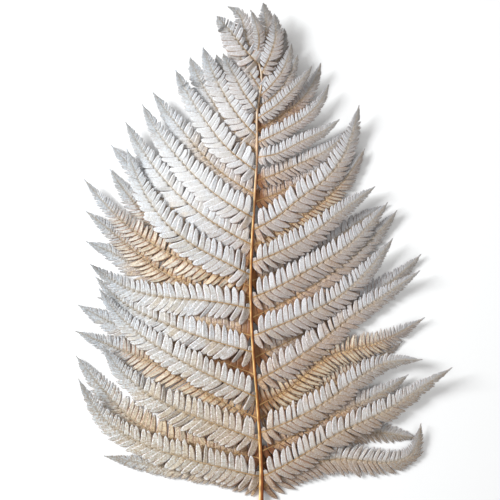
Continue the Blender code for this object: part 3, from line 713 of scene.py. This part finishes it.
        # round the ring the same way on both sides of the midvein
        flip = pick[:, 1] > 0
        a = np.stack([u, v * np.ones_like(u), r3 * np.ones_like(u)], -1)
        t_at = np.clip(s_at / length, 0, 1)
        b = np.stack([-0.4 * (sign != upper) * np.ones_like(u), tans(t_at), t_at], -1)
        for chosen, order in ((~flip, slice(None)), (flip, slice(None, None, -1))):
            if chosen.any():
                body.tubes(p[chosen][:, :, order], a[chosen][:, :, order], b[chosen][:, :, order])
    return body.build(name, BLADE)


# ================================================================ the stem
def stem_piece(end):
    n, around = 330, 30
    s = np.linspace(0.0, end + 2.5, n)
    mid, ahead = MIDRIB.at(s), MIDRIB.heading(s)
    side = np.stack([ahead[:, 1], -ahead[:, 0]], -1)
    radius = along(MIDRIB_RADIUS, mid[:, 1]) * np.interp(mid[:, 1], [60, 200, 430, 500, 520], [1.0, 0.9, 0.76, 0.94, 1.0])
    swell = np.zeros(n)
    for rows in (LEFT, RIGHT):
        for node_y, *_ in rows:
            swell += 0.09 * np.exp(-(((mid[:, 1] - node_y) / 2.6) ** 2))
    angle = np.linspace(0, 2 * math.pi, around + 1)[:-1]
    turn = lambda centre, width: np.exp(-((np.angle(np.exp(1j * (angle - math.radians(centre)))) / math.radians(width)) ** 2))
    groove = turn(84, 15)
    form = 1 - 0.17 * groove + 0.05 * turn(120, 17) + 0.06 * turn(52, 17) - 0.05 * turn(175, 14) - 0.04 * turn(5, 14) - 0.03 * turn(-60, 12) - 0.03 * turn(-120, 12)
    r = radius[:, None] * form[None, :] * (1 + swell[:, None]) * (1 + 0.018 * wave(2.0, s, 9.0)[:, None] + 0.010 * np.sin(angle * 5 + 1)[None, :] * wave(5.0, s, 14.0)[:, None])
    z0 = np.maximum(np.interp(s, _u, _height), radius)
    w = np.cos(angle)[None, :] * r
    z = z0[:, None] + np.sin(angle)[None, :] * r * 0.97
    xy = mid[:, None, :] - side[:, None, :] * w[..., None] * -1.0
    p = to_world(xy.reshape(-1, 2), np.maximum(z.reshape(-1), 0.02)).reshape(1, n, around, 3)
    a = np.zeros(p.shape)
    a[..., 0], a[..., 1], a[..., 2] = -np.cos(angle), np.sin(angle), (s * MM)[None, :, None]
    b = np.zeros(p.shape)
    b[..., 0] = (s / MIDRIB.length)[None, :, None]
    b[..., 1] = groove
    b[..., 2] = np.clip(swell * 9, 0, 1)[None, :, None]
    body = Mesh()
    body.tubes(p, a, b)
    return body.build("stem", STEM)


# ================================================================ build
pieces = []
stem_end = float(np.interp(-MIDRIB_END_Y, -_line[:, 1], _u))
stem = stem_piece(stem_end)
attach(stem, "root")
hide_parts("stalk_and_midrib")

GOLDEN = {"left_01": 0.12, "left_02": 0.10, "left_03": 0.26, "left_04": 0.16, "left_05": 0.34, "left_06": 0.12, "left_07": 0.26,
          "left_09": 0.26, "left_10": 0.20, "left_12": 0.50, "left_13": 0.40, "left_14": 0.42, "right_07": 0.50, "right_06": 0.36,
          "right_08": 0.16, "right_05": 0.12, "right_04": 0.26, "right_03": 0.20, "right_15": 0.30}
BASE = {"right_01": 0.06, "right_03": 0.30, "left_01": 0.30, "left_03": 0.42, "right_09": 0.40, "right_13": 0.42}
FULLER = {"left_03": 1.15, "left_04": 1.12, "left_05": 1.16, "left_07": 1.08, "left_20": 1.12, "left_21": 1.2, "left_22": 1.3, "left_23": 1.3,
          "left_24": 1.4, "left_25": 1.5, "left_26": 1.75, "left_27": 1.9, "left_28": 1.95, "right_28": 1.8, "right_27": 1.8, "right_26": 1.5,
          "right_25": 1.35, "right_24": 1.25, "right_23": 1.2}


def tan_along(level, extra, foot=0.3, base=None, fade=(0.30, 0.85), share=1.0):
    """How much tan is left along a leaflet: more near the stem and on those underneath. The larger share near the stem
    on the right-hand leaflets is painted shadow of the stem.
    """
    base = base if base is not None else float(np.interp(level, [0, 1.4, 2.7, 4], [0.72, 0.60, 0.02, -0.14]))
    base = base * share if base > 0 else base
    if extra > 0.28:
        return lambda t: 4.48 + 0.20 * (extra - 0.28) / 0.3 - 0.55 * smooth(0.60, 0.98, t) + 0.3 * (1 - smooth(0.0, 0.15, t))
    return lambda t: base * (1 - 0.9 * smooth(*fade, t)) + extra * (1 - smooth(0.62, 0.95, t)) + foot * (1 - smooth(0.0, 0.13, t)) * (1.0 if level > 2 else 1.5)


for side_name, rows in (("left", LEFT), ("right", RIGHT)):
    for number, (node_y, plan_points, level, lift, *narrow) in enumerate(rows, 1):
        curve, start = leaflet_path(node_y, plan_points)
        seed = number * 7 + (1000 if side_name == "left" else 2000)
        key = f"{side_name}_{number:02d}"
        left_side = side_name == "left"
        luck = np.random.default_rng(seed + 5).random(3)
        begin = (0.22 if left_side else 0.14) + 0.24 * luck[0]
        # painted shadow: the right-hand leaflets get more tan at their foot, where the stem's shadow falls
        tans = tan_along(level, GOLDEN.get(key, 0.0), 0.22 if left_side else 0.50, BASE.get(key), (begin, begin + 0.38 + 0.2 * luck[1]), 0.72 + 0.38 * luck[2])
        breadth = (narrow[0] if narrow else 1.0) * (1.0 if left_side else 0.95) * (1.12 if level < 2 else 1.0) * FULLER.get(key, 1.0)
        joined = left_side and node_y < 175
        gold = GOLDEN.get(key, 0.0) > 0.28
        splits = (0.26, 0.30) if gold else (0.84, 0.86) if left_side and node_y < 112 else (0.62, 0.72) if joined else (0.46, 0.70) if left_side and level > 1.9 else (0.32, 0.30) if level < 1.9 else (0.44, 0.34)
        ob = leaflet(f"leaflet_{key}", curve, start, level, lift, tans, seed, upper=-1.0 if left_side else 1.0, breadth=breadth, splits=splits, rough=1.5 if GOLDEN.get(key, 0) > 0.35 else 1.0, close=0.88 if gold else 1.0, webbed=0.0 if gold or level < 1.9 else 0.62 if left_side else 0.3)
        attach(ob, "root")
        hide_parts(f"pinna_{key}")
        pieces.append(ob)


class TipCurve:
    """The last stretch of the midrib, read as a leaflet of its own."""

    def __init__(self, begin):
        self.begin, self.length = begin, MIDRIB.length - begin

    def at(self, s):
        return MIDRIB.at(np.asarray(s) + self.begin)

    def heading(self, s):
        return MIDRIB.heading(np.asarray(s) + self.begin)


def tip_half(s, curve, start, breadth=1.0):
    t = s / curve.length
    return np.maximum(12.5 * (1 - t**2.2) * (0.6 + 0.4 * smooth(0, 0.2, t)), 0.9)


def tip_heights(curve):
    s = np.linspace(0, curve.length, 60)
    h = np.interp(s + curve.begin, _u, _height)
    return lambda s_, w_: np.interp(s_, s, h) + 0.13 * np.abs(w_)


_fields = height_field
height_field = lambda curve, level, lift, start: tip_heights(curve) if isinstance(curve, TipCurve) else _fields(curve, level, lift, start)
tip = leaflet("tip", TipCurve(stem_end - 1.0), 0.0, 4, 0.0, tan_along(4, 0.0), 77, half=tip_half, first=1.5)
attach(tip, "root")
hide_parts("tip_lobe")

# ================================================================ floor, light and camera
floor_mesh = bpy.data.meshes.new("floor")
floor_mesh.from_pydata([(-6, -6, 0), (6, -6, 0), (6, 6, 0), (-6, 6, 0)], [], [(0, 1, 2, 3)])
floor = bpy.data.objects.new("floor", floor_mesh)
floor.location.z = -0.0004
bpy.context.scene.collection.objects.link(floor)
k = Nodes("pale_floor")
k.put(k.shader.inputs["Base Color"], (0.90, 0.90, 0.90, 1))
k.put(k.shader.inputs["Roughness"], 0.9)
k.put(k.shader.inputs["Specular IOR Level"], 0.1)
floor_mesh.materials.append(k.material)

scene = bpy.context.scene
scene.view_settings.view_transform = "Standard"
world = bpy.data.worlds.new("studio")
world.use_nodes = True
world.node_tree.nodes["Background"].inputs[0].default_value = (1.0, 0.992, 0.978, 1)
world.node_tree.nodes["Background"].inputs[1].default_value = 0.475
scene.world = world


def area(name, place, target, size, power, colour=(1, 1, 1)):
    light = bpy.data.lights.new(name, "AREA")
    light.shape, light.size, light.energy, light.color = "DISK", size, power, colour
    ob = bpy.data.objects.new(name, light)
    scene.collection.objects.link(ob)
    ob.location = place
    ob.rotation_euler = (Vector(target) - Vector(place)).to_track_quat("-Z", "Y").to_euler()
    return ob


area("key", (-1.35, 0.45, 0.88), (0, 0, 0), 0.70, 40.0, (0.965, 0.985, 1.0))
area("fill", (1.2, -0.5, 2.2), (0, 0, 0), 2.0, 9.0, (0.97, 0.985, 1.0))

data = bpy.data.cameras.new("camera")
camera = bpy.data.objects.new("camera", data)
scene.collection.objects.link(camera)
scene.camera = camera
data.sensor_width, data.lens = 36.0, 85.0
PHOTO_WIDTH = 500 * MM
LEAF_PLANE = 0.008
camera.location = ((250.0 - SHEET_CX) * MM, (SHEET_CY - 250.0) * MM, LEAF_PLANE + PHOTO_WIDTH * data.lens / data.sensor_width)
camera.rotation_euler = (0, 0, 0)

print("triangles", sum(sum(len(p.vertices) - 2 for p in ob.data.polygons) for ob in pieces + [stem, tip]), "segments done")
